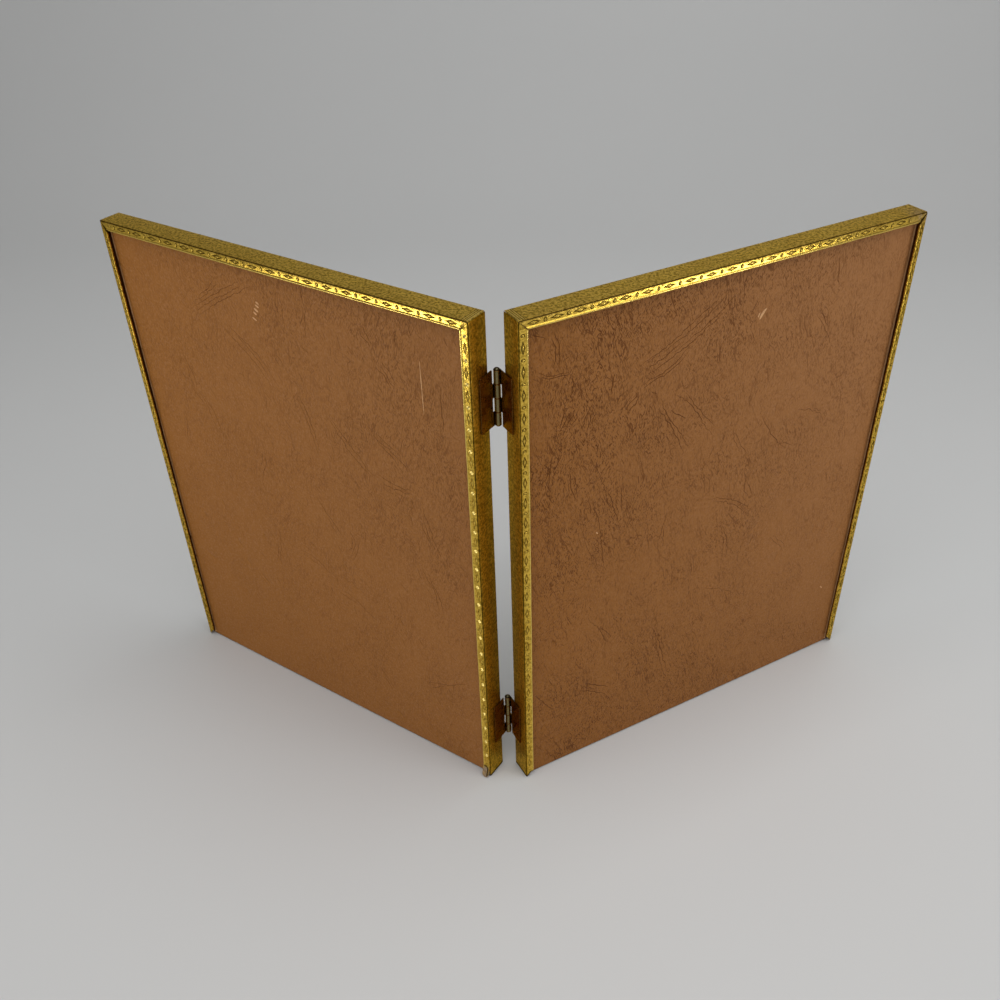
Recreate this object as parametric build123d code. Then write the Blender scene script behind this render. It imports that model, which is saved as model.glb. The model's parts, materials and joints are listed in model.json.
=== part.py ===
from build123d import *
import math
import os

# A hinged double photo frame for two upright prints. Each frame is four mitred rails of rolled sheet
# round a glazed print, closed by a covered back that slides out of the open bottom.
# Two butt hinges join the frames, which stand open like a book with their backs towards -Y.
# Sizes are in millimetres. The origin is the middle of the bounding box, on the floor, and +Z is up.
# A frame is drawn in its own axes: X from the hinge side outwards, Y from the front backwards, Z up.

# Print, and what is stacked from the front lip backwards
PRINT_WIDTH = 203.2
PRINT_HEIGHT = 254.0
EDGE_CLEARANCE = 0.7
GLASS_THICKNESS = 2.0
PRINT_THICKNESS = 0.25
FILLER_THICKNESS = 3.2
SLIDE_CLEARANCE = 0.1
BOARD_THICKNESS = 3.4
COVER_THICKNESS = 0.4
LIP_CLEARANCE = 1.3
BACK_FLOOR_GAP = 0.6

# Rolled rail section and its mitres
SHEET = 0.5
BEND_RADIUS = 0.7
FRONT_LIP = 6.0
BACK_LIP = 4.5
BEAD_WIDTH = 1.3
BEAD_RISE = 0.35
MITRE_GAP = 0.15
OPEN_MITRE_GAP = 0.6

# Lip end that is turned outwards at the foot of the left frame's hinge rail
TONGUE_LENGTH = 8.3
TONGUE_TURN = 14.0
TONGUE_ROOT = 0.4

# Angle keys inside the corners
KEY_LEG = 14.0
KEY_WIDTH = 3.6
KEY_PLAY = 0.2

# Butt hinges
HINGE_LENGTH = 25.4
LEAF_LAP = 6.7
LEAF_SHEET = 0.6
LEAF_CORNER_RADIUS = 0.8
AXIS_AHEAD = 3.9
KNUCKLES = 4
KNUCKLE_GAP = 0.15
KNUCKLE_WRAP = 290.0
SLOT_GAP = 0.75
PIN_RADIUS = 0.75
PIN_CLEARANCE = 0.05
PIN_HEAD_RADIUS = 1.25
PIN_HEAD_RISE = 0.7
UPPER_HINGE_DROP = 38.8
LOWER_HINGE_RISE = 34.2

# Pose in which the frames stand: the angle between the two pictures
OPEN_ANGLE = 118.0

# Sizes worked out from the values above
frame_width = PRINT_WIDTH + 2 * (EDGE_CLEARANCE + SHEET)
frame_height = PRINT_HEIGHT + 2 * (EDGE_CLEARANCE + SHEET)
key_sheet = EDGE_CLEARANCE - KEY_PLAY
print_face = SHEET + GLASS_THICKNESS
filler_face = print_face + PRINT_THICKNESS
ledge_depth = filler_face + FILLER_THICKNESS
board_face = ledge_depth + SLIDE_CLEARANCE
cover_face = board_face + BOARD_THICKNESS
rail_depth = cover_face + COVER_THICKNESS + LIP_CLEARANCE + SHEET
bore_radius = PIN_RADIUS + PIN_CLEARANCE
knuckle_radius = bore_radius + LEAF_SHEET
leaf_width = AXIS_AHEAD + LEAF_LAP
knuckle_pitch = HINGE_LENGTH / KNUCKLES
hinge_feet = {
    "upper": frame_height - UPPER_HINGE_DROP - HINGE_LENGTH / 2,
    "lower": LOWER_HINGE_RISE - HINGE_LENGTH / 2,
}


def block(low, high):
    """A box between two corners."""
    size = Vector(*high) - Vector(*low)
    return Pos(*low) * Box(*size, align=(Align.MIN, Align.MIN, Align.MIN))


def lip_edges(width, face, inward, inset):
    """One side of a lip's sheet, from its free edge over the bead and the flat to the end of the bend."""
    level = face + inward * inset
    bend = BEND_RADIUS - inset
    centre = (BEND_RADIUS, face + inward * BEND_RADIUS)
    slant = bend / math.sqrt(2)
    bead_top = (width - BEAD_WIDTH / 2, level - inward * BEAD_RISE)
    bead_end = (width - BEAD_WIDTH, level)
    bend_start = (BEND_RADIUS, level)
    bend_middle = (centre[0] - slant, centre[1] - inward * slant)
    bend_end = (inset, centre[1])
    return [
        ThreePointArc((width, level), bead_top, bead_end),
        Line(bead_end, bend_start),
        ThreePointArc(bend_start, bend_middle, bend_end),
    ]


def rail_section(has_back_lip):
    """Section of a rail: X inwards from the web's outer face, Y from the front face backwards."""
    edges = lip_edges(FRONT_LIP, 0, 1, 0) + lip_edges(FRONT_LIP, 0, 1, SHEET)
    edges.append(Line((FRONT_LIP, 0), (FRONT_LIP, SHEET)))
    if has_back_lip:
        edges += lip_edges(BACK_LIP, rail_depth, -1, 0) + lip_edges(BACK_LIP, rail_depth, -1, SHEET)
        edges.append(Line((BACK_LIP, rail_depth), (BACK_LIP, rail_depth - SHEET)))
        web_end = rail_depth - BEND_RADIUS
    else:
        web_end = ledge_depth
        edges.append(Line((0, web_end), (SHEET, web_end)))
    edges += [Line((side, BEND_RADIUS), (side, web_end)) for side in (0, SHEET)]
    return Face(Wire(edges))


def mitre_waste(gap):
    """What a mitre takes off the start of a rail, with half of the gap."""
    reach = 2 * FRONT_LIP
    shift = gap / math.sqrt(2)
    corners = [(shift - reach, -reach), (shift + reach, reach), (shift - reach, reach)]
    outline = make_face(Polyline(*corners, close=True))
    return extrude(Pos(0, 0, -reach) * outline, rail_depth + 2 * reach, dir=(0, 0, 1))


def rail(length, has_back_lip=True, start_gap=MITRE_GAP, end_gap=MITRE_GAP):
    """A rail along X, with Y inwards and Z backwards, mitred at both ends."""
    bar = extrude(Plane.YZ * rail_section(has_back_lip), length, dir=(1, 0, 0))
    end_waste = Pos(length, 0, 0) * mirror(mitre_waste(end_gap), about=Plane.YZ)
    return bar - mitre_waste(start_gap) - end_waste


def turn_out_lip(bar):
    """The rail with the foot of its back lip torn from the bend and turned outwards as a round tongue."""
    width = BACK_LIP - BEND_RADIUS
    lip_back = rail_depth + BEAD_RISE
    root = TONGUE_LENGTH
    torn = block((-BACK_LIP, BEND_RADIUS, rail_depth - SHEET), (root, 2 * BACK_LIP, 2 * lip_back))
    flat = block((-root + width / 2, 0, 0), (TONGUE_ROOT, width, SHEET))
    tip = Pos(-root + width / 2, width / 2, 0) * Cylinder(
        width / 2, SHEET, align=(Align.CENTER, Align.CENTER, Align.MIN)
    )
    tongue = Pos(root, BEND_RADIUS, rail_depth - SHEET) * Rot(0, TONGUE_TURN, 0) * (flat + tip)
    return bar - torn + tongue


def rails(side):
    """The four rails of a frame, in the frame's axes."""
    open_gap = OPEN_MITRE_GAP if side == "right" else MITRE_GAP
    hinge_rail = rail(frame_height)
    if side == "left":
        hinge_rail = turn_out_lip(hinge_rail)
    top_rail = rail(frame_width, end_gap=open_gap)
    outer_rail = rail(frame_height, start_gap=open_gap)
    bottom_rail = rail(frame_width, has_back_lip=False)
    upwards = Plane((0, 0, 0), x_dir=(0, 0, 1), z_dir=(0, 1, 0))
    outwards = Plane((0, 0, frame_height), x_dir=(1, 0, 0), z_dir=(0, 1, 0))
    downwards = Plane((frame_width, 0, frame_height), x_dir=(0, 0, -1), z_dir=(0, 1, 0))
    inwards = Plane((frame_width, 0, 0), x_dir=(-1, 0, 0), z_dir=(0, 1, 0))
    return {
        "hinge_rail": upwards * hinge_rail,
        "top_rail": outwards * top_rail,
        "outer_rail": downwards * outer_rail,
        "bottom_rail": inwards * bottom_rail,
    }


def corner_keys():
    """Four bent angles that lie against the inside of the webs, beside the glass and the filler."""
    start = SHEET + (ledge_depth - SHEET - KEY_WIDTH) / 2
    end = start + KEY_WIDTH
    along = block((SHEET, start, SHEET), (SHEET + KEY_LEG, end, SHEET + key_sheet))
    upright = block((SHEET, start, SHEET), (SHEET + key_sheet, end, SHEET + KEY_LEG))
    foot_key = along + upright
    across = Plane.YZ.offset(frame_width / 2)
    over = Plane.XY.offset(frame_height / 2)
    feet = [foot_key, mirror(foot_key, about=across)]
    return Compound(feet + [mirror(key, about=over) for key in feet])


def sheet_piece(face, thickness, foot):
    """A sheet of the print's outline, standing at a foot height with its front at a depth."""
    start = SHEET + EDGE_CLEARANCE
    return block((start, face, foot), (start + PRINT_WIDTH, face + thickness, foot + PRINT_HEIGHT))


def stack():
    """Glass, print, filler, back board and cover of a frame, in the frame's axes."""
    key_top = SHEET + key_sheet
    return {
        "glass": sheet_piece(SHEET, GLASS_THICKNESS, key_top),
        "print": sheet_piece(print_face, PRINT_THICKNESS, key_top),
        "filler_board": sheet_piece(filler_face, FILLER_THICKNESS, key_top),
        "back_board": sheet_piece(board_face, BOARD_THICKNESS, BACK_FLOOR_GAP),
        "back_cover": sheet_piece(cover_face, COVER_THICKNESS, BACK_FLOOR_GAP),
    }


def knuckle_section():
    """A strip of hinge leaf that ends in a rolled knuckle round the origin: X towards the rail."""
    reach = 2 * knuckle_radius
    opening = math.radians(360 - KNUCKLE_WRAP)
    seam = (reach * math.cos(opening), reach * math.sin(opening))
    mouth = make_face(Polyline((0, 0), (reach, 0), (reach, reach), seam, close=True))
    roll = Circle(knuckle_radius) - Circle(bore_radius) - mouth
    strip = Pos(bore_radius, 0) * Rectangle(LEAF_SHEET, leaf_width, align=(Align.MIN, Align.MIN))
    return roll + strip


def hinge_leaf(first_knuckle):
    """A hinge leaf round the Z axis, rolled at every second knuckle and slotted at the others."""
    start = knuckle_radius + SLOT_GAP
    leaf = block((bore_radius, start, 0), (knuckle_radius, leaf_width, HINGE_LENGTH))
    for place in range(first_knuckle, KNUCKLES, 2):
        foot = place * knuckle_pitch + KNUCKLE_GAP / 2
        leaf += Pos(0, 0, foot) * extrude(knuckle_section(), knuckle_pitch - KNUCKLE_GAP, dir=(0, 0, 1))
    back_corners = leaf.edges().filter_by(Axis.X).group_by(Axis.Y)[-1]
    return fillet(back_corners, LEAF_CORNER_RADIUS)


def hinge_pin():
    """A pin on the Z axis with a domed head at each end of the barrel."""
    outline = [
        TangentArc((0, -PIN_HEAD_RISE), (PIN_HEAD_RADIUS, 0), tangent=(1, 0)),
        Polyline((PIN_HEAD_RADIUS, 0), (PIN_RADIUS, 0), (PIN_RADIUS, HINGE_LENGTH)),
        Line((PIN_RADIUS, HINGE_LENGTH), (PIN_HEAD_RADIUS, HINGE_LENGTH)),
        TangentArc((0, HINGE_LENGTH + PIN_HEAD_RISE), (PIN_HEAD_RADIUS, HINGE_LENGTH), tangent=(1, 0)),
        Line((0, HINGE_LENGTH + PIN_HEAD_RISE), (0, -PIN_HEAD_RISE)),
    ]
    return revolve(Plane.XZ * make_face(outline), Axis.Z)


def frame_pieces(side):
    """Every piece of one frame, with its hinge leaves, in the frame's axes."""
    pieces = {**rails(side), "corner_keys": corner_keys(), **stack()}
    first_knuckle = 0 if side == "left" else 1
    for name, foot in hinge_feet.items():
        at_axis = Pos(-knuckle_radius, -AXIS_AHEAD, foot)
        pieces[f"{name}_hinge_leaf"] = at_axis * hinge_leaf(first_knuckle)
        if side == "left":
            pieces[f"{name}_hinge_pin"] = at_axis * hinge_pin()
    return pieces


def assemble():
    """All pieces about the hinge axis, the left frame placed and the right one mirrored from it."""
    lean = math.radians((180 - OPEN_ANGLE) / 2)
    along = Vector(-math.cos(lean), math.sin(lean), 0)
    backwards = Vector(-math.sin(lean), -math.cos(lean), 0)
    corner = along * knuckle_radius + backwards * AXIS_AHEAD
    placed = Plane(corner, x_dir=along, z_dir=(0, 0, 1))
    pieces = {}
    for side in ("left", "right"):
        for name, piece in frame_pieces(side).items():
            whole_name = name if name.endswith("hinge_pin") else f"{side}_{name}"
            stood = placed * piece
            pieces[whole_name] = stood if side == "left" else mirror(stood, about=Plane.YZ)
    return pieces


about_axis = assemble()
extent = Compound(list(about_axis.values())).bounding_box()
to_origin = Pos(-extent.center().X, -extent.center().Y, -extent.min.Z)

os.makedirs("parts", exist_ok=True)
for name, piece in about_axis.items():
    export_step(to_origin * piece, f"parts/{name}.step")

axis_place = to_origin.position
print("size", [round(value, 3) for value in extent.size])
print("hinge axis at", [round(value, 4) for value in axis_place])
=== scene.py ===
import json
import math

import bmesh
import bpy
import numpy as np
from mathutils import Matrix, Vector
from mathutils.geometry import delaunay_2d_cdt


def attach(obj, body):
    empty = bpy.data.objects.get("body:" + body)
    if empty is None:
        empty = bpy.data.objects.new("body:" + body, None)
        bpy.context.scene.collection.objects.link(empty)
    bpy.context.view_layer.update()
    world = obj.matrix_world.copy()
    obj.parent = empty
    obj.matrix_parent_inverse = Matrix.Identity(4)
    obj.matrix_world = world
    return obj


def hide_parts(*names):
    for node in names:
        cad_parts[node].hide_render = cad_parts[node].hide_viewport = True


# Looks of a hinged double photo frame, seen from its covered backs.
# Shapes are drawn in millimetres in a frame's own axes: U from the hinge side outwards,
# W from the front face backwards, Z up. They become metres when a piece is placed.

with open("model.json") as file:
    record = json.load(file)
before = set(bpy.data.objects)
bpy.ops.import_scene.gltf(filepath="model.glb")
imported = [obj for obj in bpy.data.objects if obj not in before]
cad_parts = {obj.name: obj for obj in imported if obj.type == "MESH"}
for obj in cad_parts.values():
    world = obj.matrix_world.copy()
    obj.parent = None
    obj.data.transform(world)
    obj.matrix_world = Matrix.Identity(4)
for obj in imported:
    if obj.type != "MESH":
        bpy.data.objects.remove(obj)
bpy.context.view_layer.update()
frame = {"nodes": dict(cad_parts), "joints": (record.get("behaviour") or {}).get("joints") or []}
MM = 0.001

# Rolled rail section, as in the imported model
SHEET = 0.5
BEND_RADIUS = 0.7
BEND_STEPS = 6
FRONT_LIP = 6.0
BACK_LIP = 4.5
BEAD_WIDTH = 1.3
BEAD_RISE = 0.35
BEAD_STEPS = 8
LEDGE_DEPTH = 5.95
MITRE_GAP = 0.15
OPEN_MITRE_GAP = 0.6
CORNER_ROUND = 0.9
RING_STEP = 2.0
CORNER_RINGS = (0.3, 0.6, 1.0, 1.5, 2.2, 3.0)
LAP_LINES = (1.5, 2.4, 3.4)
LAP_LINE_HALF_WIDTH = 0.24
LAP_LINE_DEPTH = 0.12

# Unevenness of the thin lips: how far they sink and wander, in waves, and how the outer ones flare
LIP_SINK = 0.07
LIP_WANDER = 0.16
LIP_WAVES = ((0.3, 41.0), (0.25, 23.0), (0.25, 11.0), (0.2, 5.3))
OUTER_LIP_FLARE = 0.8
OUTER_LIP_TAPER = 0.7

# Turned-out end of the left frame's torn lip, and the tear in it as (along, across)
TONGUE_LENGTH = 8.3
TONGUE_TURN = 14.0
TONGUE_ROOT = 0.4
TONGUE_TIP_STEPS = 14
TONGUE_EDGE = 0.1
TONGUE_EDGE_SHARE = 0.94
TEAR = [(-7.4, 0.75), (-5.0, 0.55), (-2.6, 0.6), (-1.5, 1.5), (-1.6, 2.9)]
TEAR_STEP = 0.5
TEAR_HALF_WIDTH = 0.5
TEAR_DEPTH = 0.25

# Embossed border: an upright oval and a pointed lozenge by turns
ORNAMENT_PITCH = 10.2
LOZENGE_HALF_LENGTH = 2.6
LOZENGE_HALF_HEIGHT = 0.84
LOZENGE_RISES = ((0.70, 0.02), (0.42, 0.12))
LOZENGE_RIDGE = 0.2
LOZENGE_RIDGE_HALF_LENGTH = 0.5
LOZENGE_RIM = 0.75
OVAL_HALF_LENGTH = 0.6
OVAL_HALF_HEIGHT = 0.78
OVAL_STEPS = 16
OVAL_RISES = ((0.80, 0.10), (0.50, 0.23))
OVAL_TOP = 0.29
OVAL_SLANT = 0.58
OVAL_FACET = (0.95, 0.8)
OVAL_FACET_SHEAR = 0.35
GROOVE_HALF_WIDTH = 0.27
GROOVE_DEPTH = 0.16
MOTIF_MARGIN = 0.12
FRONT_ORNAMENT_SCALE = 1.35
ORNAMENT_START = {"left": 2.6, "right": 1.4}
HINGE_ORNAMENT_START = 5.4
OUTER_ORNAMENT_START = 3.0

# How age and painted light show on the rails: the hinge lips' marks, dirt and painted light alike, are given
# from foot to head; dirt lies in the mitres, painted shade along the bends and at the hinge feet, painted
# light on the bead crests
MITRE_DIRT = 0.6
HINGE_LIP_MARKS = {"left": (0.42, 0.42), "right": (0.35, 1.0)}
# The bead crest's painted light: a painted highlight on most lips, painted shade on the outer lips
BEAD_PAINTED_LIGHT = {"hinge_rail": 0.8, "top_rail": 0.8, "outer_rail": -0.25, "bottom_rail": 0.5}
WEB_BROWN = {"hinge_rail": 0.75, "outer_rail": 0.25}
LIP_BROWN = {"outer_rail": 0.15}
LIP_DULL = {"hinge_rail": 0.3, "outer_rail": 1.0}
HINGE_WEB_REDDER = 0.45
TOP_WEB_WORN = 0.13
WORN_CORNER_INSET = 4.0
WORN_CORNER_REACH = (7.0, 9.0, 7.0)
BEND_LINE_WIDTH = 0.36
HINGE_FRONT_LINE_WIDTH = 0.5
HINGE_BACK_LINE = 0.75
FRONT_LINE = 0.8
MITRE_LINE_WIDTH = 0.35
FOOT_LINE_WIDTH = 1.4
CREST_WIDTH = 0.3

# Hinges, about their pin
BORE_RADIUS = 0.8
KNUCKLE_RADIUS = 1.4
KNUCKLES = 4
KNUCKLE_GAP = 0.15
KNUCKLE_WRAP = 290.0
KNUCKLE_STEPS = 40
GRIME_WIDTH = 0.5
SLOT_GAP = 0.75
LEAF_WIDTH = 10.6
LEAF_CORNER_RADIUS = 0.8
LEAF_CORNER_STEPS = 6
LEAF_RIM = 0.5
# The leaf's rim is painted darker than its middle, as painted shade along its edges
LEAF_RIM_SHADE = 0.2
LEAF_TONE = 0.4
LEAF_BEVEL = 0.09
HINGE_LENGTH = 25.4
AXIS_AHEAD = 3.9
PIN_RADIUS = 0.75
PIN_HEAD_RADIUS = 1.25
PIN_HEAD_RISE = 0.7
PIN_HEAD_STEPS = 8
PIN_STEPS = 32

# Covered back
COVER_EDGE_ROUND = 0.28
COVER_GRID = 9.0
COVER_SAG = 0.12
COVER_EDGE_SHOWS = -0.1
COVER_EDGE_SLANT = 0.5
COVER_EDGE_WIDTH = 0.9
CREASE_HALF_WIDTH = 0.25
CREASE_DEPTH = 0.1
CREASE_RAGGED = 0.26
CREASE_SWAY = 0.6
CREASE_MARGIN = 1.2
CREASE_CLEARANCE = 0.8
CREASE_STEP = 1.7
SCUFF_STEP = 0.5
SCUFF_DEPTH = 0.02
WRINKLE_TRIES = 900
WRINKLE_SLANT = {"left": 24.0, "right": 10.0}
WRINKLE_SPREAD = 22.0
WRINKLE_LENGTHS = (2.5, 9.0)
WRINKLE_BOW = 0.12
WRINKLE_STEP = 1.5
WRINKLE_DEPTH = 0.7
EDGE_WEAR = {"left": 1.2, "right": 1.0}
# How creased each cover is; the same weight darkens the cover as painted shade, and on the right cover it
# grows towards the foot as painted shade
CREASED = {"left": 0.75, "right": 1.2}
CREASED_AND_SHADED_FOOT = {"left": 0.0, "right": 0.35}
# Painted sheen: the covers are paler towards the object's right and towards the top
PAINTED_SHEEN = {"left": 0.28, "right": 0.5}

# Bundles of creases: places in the photograph's pixels, how many lines, their spacing
CREASE_BUNDLES = {
    "left": [
        ([(254, 274), (238, 289), (223, 295), (204, 303), (192, 314)], 3, 2.0),
        ([(219, 278), (208, 293), (192, 299)], 2, 2.0),
        ([(300, 285), (304, 312), (302, 339)], 3, 1.3),
        ([(212, 312), (235, 335), (254, 355), (269, 378), (277, 393)], 3, 2.3),
        ([(179, 347), (190, 370), (196, 389)], 2, 1.8),
        ([(192, 382), (208, 405), (217, 428), (225, 443)], 3, 2.1),
        ([(292, 385), (304, 412), (315, 439), (323, 462)], 2, 2.1),
        ([(319, 401), (335, 428), (354, 455), (381, 485)], 2, 2.1),
        ([(365, 428), (385, 447), (408, 470)], 3, 2.0),
        ([(365, 466), (392, 489), (427, 497)], 2, 2.0),
        ([(377, 362), (396, 389)], 3, 2.0),
        ([(356, 324), (373, 347)], 2, 1.8),
        ([(394, 324), (394, 347)], 2, 1.8),
        ([(313, 493), (331, 520), (346, 547)], 2, 2.0),
        ([(279, 520), (279, 555), (285, 574)], 2, 1.3),
        ([(296, 551), (315, 558), (338, 582)], 2, 1.8),
        ([(350, 528), (356, 547), (350, 562)], 3, 1.6),
        ([(338, 589), (362, 605), (377, 624)], 2, 1.8),
        ([(419, 512), (431, 539), (438, 558)], 3, 2.0),
        ([(440, 374), (442, 405), (444, 435)], 1, 1.5),
        ([(423, 566), (438, 597), (442, 616)], 2, 1.8),
        ([(427, 685), (469, 687)], 2, 1.8),
        ([(377, 662), (396, 693)], 2, 1.8),
        ([(265, 451), (262, 478)], 2, 1.8),
        ([(273, 351), (285, 374)], 2, 1.8),
        ([(185, 412), (190, 443)], 1, 1.5),
    ],
    "right": [
        ([(747, 278), (720, 308), (693, 332), (666, 355), (635, 378)], 5, 1.8),
        ([(668, 391), (682, 395), (697, 408), (712, 428), (724, 443)], 2, 2.3),
        ([(658, 395), (664, 412), (678, 435), (689, 455)], 2, 2.0),
        ([(639, 389), (630, 405), (624, 416)], 3, 2.0),
        ([(757, 405), (770, 432), (785, 445), (803, 451)], 2, 1.3),
        ([(797, 407), (812, 408), (826, 418)], 2, 1.5),
        ([(597, 439), (599, 466), (603, 482), (610, 501), (618, 528)], 2, 2.3),
        ([(570, 466), (574, 489), (580, 505)], 2, 1.6),
        ([(591, 497), (599, 524), (602, 551), (610, 585)], 1, 1.5),
        ([(622, 478), (618, 505), (622, 528)], 2, 2.0),
        ([(674, 505), (664, 524), (658, 547)], 2, 1.6),
        ([(697, 505), (712, 499), (735, 503), (758, 516)], 2, 1.8),
        ([(732, 416), (737, 439), (745, 458)], 2, 1.8),
        ([(747, 466), (745, 485), (751, 497)], 2, 1.8),
        ([(664, 593), (657, 612), (655, 635), (662, 662), (672, 689)], 2, 1.6),
        ([(697, 585), (712, 589), (747, 593)], 1, 1.5),
        ([(720, 524), (726, 547), (722, 570)], 2, 2.0),
        ([(770, 532), (785, 551)], 2, 2.0),
        ([(824, 466), (830, 485)], 2, 1.6),
        ([(816, 308), (828, 332), (835, 351)], 2, 1.6),
        ([(839, 247), (840, 293)], 1, 1.5),
        ([(758, 324), (754, 351)], 3, 1.6),
        ([(535, 697), (558, 712)], 1, 1.5),
        ([(578, 687), (612, 691)], 3, 2.1),
        ([(589, 616), (612, 643)], 2, 2.0),
        ([(532, 374), (555, 378), (578, 372)], 2, 1.3),
        ([(551, 332), (558, 351), (557, 374)], 2, 1.6),
        ([(532, 332), (547, 340)], 2, 1.5),
        ([(555, 451), (547, 489)], 3, 2.0),
        ([(574, 405), (562, 435)], 4, 2.1),
        ([(597, 401), (585, 435)], 3, 2.1),
        ([(699, 340), (668, 371), (650, 382), (637, 395), (627, 411)], 2, 1.7),
        ([(554, 364), (561, 365), (566, 359), (573, 352)], 1, 1.5),
        ([(575, 375), (573, 387), (570, 404)], 1, 1.5),
        ([(618, 364), (614, 387), (607, 401)], 1, 1.5),
        ([(597, 430), (597, 468)], 1, 1.5),
        ([(652, 389), (661, 397), (664, 402), (659, 408)], 1, 1.5),
        ([(666, 406), (676, 413), (687, 421)], 1, 1.5),
        ([(681, 442), (688, 454)], 1, 1.5),
        ([(562, 456), (553, 468)], 2, 1.5),
        ([(616, 437), (605, 451)], 1, 1.5),
    ],
}

# Pale scuffs: places in the photograph's pixels and half their width
SCUFFS = {
    "left": [
        ([(255, 301.5), (259, 305)], 0.60),
        ([(254.5, 304.5), (259, 308.3)], 0.55),
        ([(253.5, 308), (258.5, 312.5)], 0.65),
        ([(253, 311.5), (257, 315.5)], 0.55),
        ([(252, 317), (257, 321)], 0.50),
        ([(419, 360), (424, 416)], 0.25),
    ],
    "right": [
        ([(767, 308), (763, 313), (759.5, 320)], 0.80),
        ([(760.5, 312), (758, 318)], 0.45),
        ([(596, 532), (598, 534)], 0.40),
        ([(820, 586), (822, 588)], 0.40),
    ],
}

# Camera of the photograph
PHOTO_SIZE = 1000
CAMERA_PLACE = (0.02315, -0.40383, 0.42533)
CAMERA_YAW = -3.840
CAMERA_PITCH = 37.549
CAMERA_ROLL = -2.002
CAMERA_LENS = 37.232
CAMERA_SENSOR = 36.0
CAMERA_SHIFT = 0.0344

# Surroundings, in metres: a floor that bends up into a wall, and the brightness all round
SWEEP_HALF_WIDTH = 3.5
SWEEP_NEAR = -3.5
SWEEP_FAR = 1.15
SWEEP_BEND = 0.5
SWEEP_HEIGHT = 2.6
REFLECTOR_HEIGHT = 0.012
WORLD_PALE = 0.38
WORLD_DARK = 0.2
WORLD_DARK_WAY = (0.0, -0.5, 0.866)

# Tones of the main materials, from the base to what lies over it
# On the gilt, the polished tone and the bright specks are painted highlights; the darkest tone is dirt in
# grooves and mitres and painted shade elsewhere; the brown is tarnish with painted shade along the back bend
GILT_TONES = {
    "light": (0.84, 0.56, 0.090),
    "deep": (0.72, 0.46, 0.070),
    "brown": (0.50, 0.25, 0.006),
    "worn": (0.52, 0.38, 0.27),
    "pits": (0.18, 0.105, 0.008),
    "painted_glints": (0.92, 0.64, 0.13),
    "grime_and_shade": (0.06, 0.035, 0.006),
    "painted_highlight": (0.88, 0.66, 0.20),
}
# On the leatherette, the sheen and the lighter grain specks are painted highlights; the shade, the dark
# creases and the dark strip under the outer lip are painted shade
LEATHER_TONES = {
    "light": (0.386, 0.152, 0.031),
    "deep": (0.344, 0.133, 0.025),
    "painted_sheen": (0.43, 0.215, 0.100),
    "grain": (0.46, 0.215, 0.085),
    "shade": (0.19, 0.062, 0.010),
    "strokes": (0.130, 0.038, 0.006),
    "creases": (0.120, 0.034, 0.004),
    "scuffs": (0.74, 0.42, 0.20),
    "shade_under_lip": (0.10, 0.030, 0.006),
}
# Grime in the hinges' gaps, also used as painted shade on the leaves' rims
GRIME_AND_SHADE_TONE = (0.012, 0.008, 0.005)

# Where the two frames stand
fold = next(joint for joint in frame["joints"] if joint["name"] == "fold")
fold_axis = Vector(fold["pos_m"])
lean = math.radians(-fold["range_deg"][0] / 2)


def frame_matrix(side):
    """Where a frame's own axes lie. The right frame's first axis points at the hinge, so it is mirrored."""
    sign = -1 if side == "left" else 1
    along = Vector((sign * math.cos(lean), math.sin(lean), 0))
    backwards = Vector((sign * math.sin(lean), -math.cos(lean), 0))
    corner = fold_axis + (along * KNUCKLE_RADIUS + backwards * AXIS_AHEAD) * MM
    first = along if side == "left" else -along
    matrix = Matrix((first, backwards, (0, 0, 1))).transposed().to_4x4()
    matrix.translation = corner
    return matrix


def camera_matrix():
    """Where the photograph's camera stood and looked."""
    turn = Matrix.Rotation(math.radians(-CAMERA_YAW), 4, "Z")
    tilt = Matrix.Rotation(math.radians(90 - CAMERA_PITCH), 4, "X")
    roll = Matrix.Rotation(math.radians(CAMERA_ROLL), 4, "Z")
    return Matrix.Translation(CAMERA_PLACE) @ turn @ tilt @ roll


def node_box(node):
    """Lowest and highest corner of one of the left frame's nodes in its frame's axes, in millimetres."""
    inverse = frame_matrix("left").inverted()
    points = np.array([inverse @ vertex.co for vertex in frame["nodes"][node].data.vertices]) / MM
    return points.min(axis=0), points.max(axis=0)


_, rail_high = node_box("left_top_rail")
FRAME_WIDTH = node_box("left_outer_rail")[1][0]
FRAME_HEIGHT = rail_high[2]
RAIL_DEPTH = rail_high[1] - BEAD_RISE
cover_low, cover_high = node_box("left_back_cover")
HINGE_FEET = {name: node_box(f"left_{name}_hinge_leaf")[0][2] for name in ("upper", "lower")}


# Pieces from points and faces

def add_piece(name, side, points, faces, look, crisp=30.0, **attributes):
    """A mesh object from millimetres in a frame's axes, with its normals outwards and its edges kept crisp.

    Each attribute is a list with a number for each point, which the materials read."""
    mirrored = (-1, 1, 1) if side == "right" else (1, 1, 1)
    matrix = frame_matrix(side)
    built = bmesh.new()
    layers = [built.verts.layers.float.new(attribute) for attribute in attributes]
    corners = []
    for point, *values in zip(points, *attributes.values()):
        corner = built.verts.new(matrix @ Vector(np.multiply(point, mirrored) * MM))
        for layer, value in zip(layers, values):
            corner[layer] = value
        corners.append(corner)
    for face in faces:
        built.faces.new([corners[index] for index in face])
    bmesh.ops.remove_doubles(built, verts=built.verts, dist=0.001 * MM)
    bmesh.ops.recalc_face_normals(built, faces=built.faces)
    mesh = bpy.data.meshes.new(name)
    built.to_mesh(mesh)
    built.free()
    mesh.shade_smooth()
    mesh.set_sharp_from_angle(angle=math.radians(crisp))
    mesh.materials.append(look)
    piece = bpy.data.objects.new(name, mesh)
    bpy.context.scene.collection.objects.link(piece)
    return piece


def stand_for(piece, node, body):
    """The piece takes a node's place and moves with its body."""
    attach(piece, body)
    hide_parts(node)


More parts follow.
